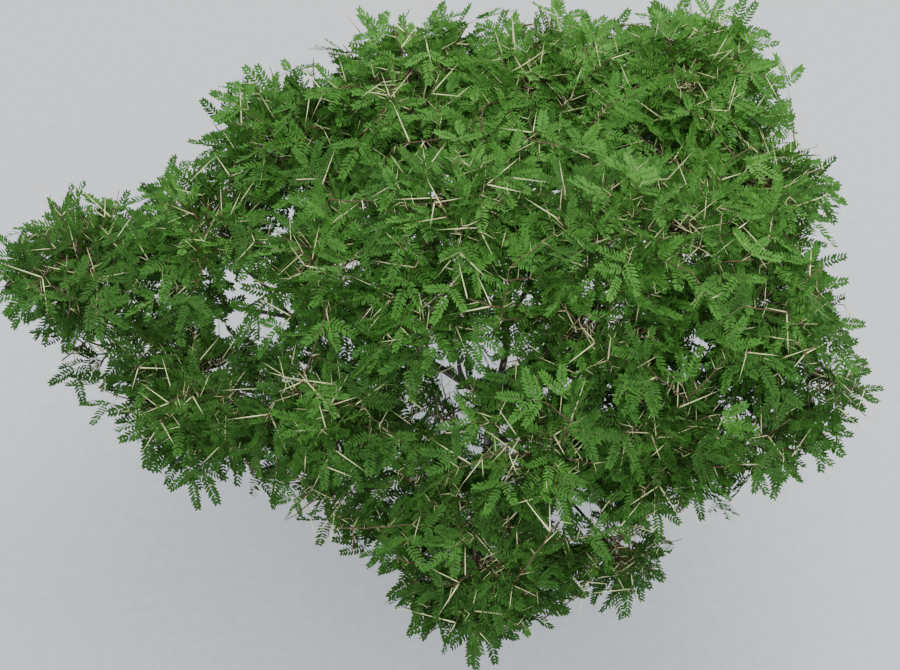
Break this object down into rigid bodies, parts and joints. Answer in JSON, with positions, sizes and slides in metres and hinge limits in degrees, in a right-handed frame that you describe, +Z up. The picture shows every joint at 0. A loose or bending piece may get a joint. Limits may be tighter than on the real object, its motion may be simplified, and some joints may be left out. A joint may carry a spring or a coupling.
{
  "type": "acacia tree",
  "caption": "Young thorn acacia with a slim flared trunk, arching boughs and a low umbrella crown of feathery leaves and long pale thorns.",
  "frame": {"origin": "middle of the flat cut under the trunk, at ground level", "axes": "+Z up along the trunk, +X to the crown's short right side, -X to its far-reaching left bough, -Y to the low front of the crown"},
  "size_m": [2.5259, 1.9561, 1.6607],
  "materials": {
    "bark": "rough dark grey-brown bark",
    "foliage": "matt mid-green feathery leaves with cream thorns"
  },
  "bodies": {
    "root": {"trunk": "bark", "bough_far_left": "bark", "bough_right_upper": "bark", "bough_low_front": "bark", "bough_top": "bark", "bough_left_upper": "bark", "bough_left_lower": "bark", "bough_left_low": "bark", "bough_left_inner": "bark", "bough_left_front": "bark", "bough_left_middle": "bark", "bough_right": "bark", "bough_far_right": "bark", "bough_right_front": "bark", "bough_right_lower": "bark", "bough_right_middle": "bark", "bough_right_inner": "bark", "bough_front_inner": "bark", "bough_front": "bark", "bough_front_left": "bark", "bough_front_right": "bark", "bough_front_middle": "bark", "bough_middle": "bark", "bough_top_left": "bark", "bough_upper_left": "bark", "bough_top_right": "bark", "bough_middle_right": "bark", "bough_back": "bark", "bough_back_left": "bark", "bough_back_right": "bark", "foliage_far_left": "foliage", "foliage_right_upper": "foliage", "foliage_low_front": "foliage", "foliage_top": "foliage", "foliage_left_upper": "foliage", "foliage_left_lower": "foliage", "foliage_left_low": "foliage", "foliage_left_inner": "foliage", "foliage_left_front": "foliage", "foliage_left_middle": "foliage", "foliage_right": "foliage", "foliage_far_right": "foliage", "foliage_right_front": "foliage", "foliage_right_lower": "foliage", "foliage_right_middle": "foliage", "foliage_right_inner": "foliage", "foliage_front_inner": "foliage", "foliage_front": "foliage", "foliage_front_left": "foliage", "foliage_front_right": "foliage", "foliage_front_middle": "foliage", "foliage_middle": "foliage", "foliage_top_left": "foliage", "foliage_upper_left": "foliage", "foliage_top_right": "foliage", "foliage_middle_right": "foliage", "foliage_back": "foliage", "foliage_back_left": "foliage", "foliage_back_right": "foliage"}
  },
  "joints": []
}
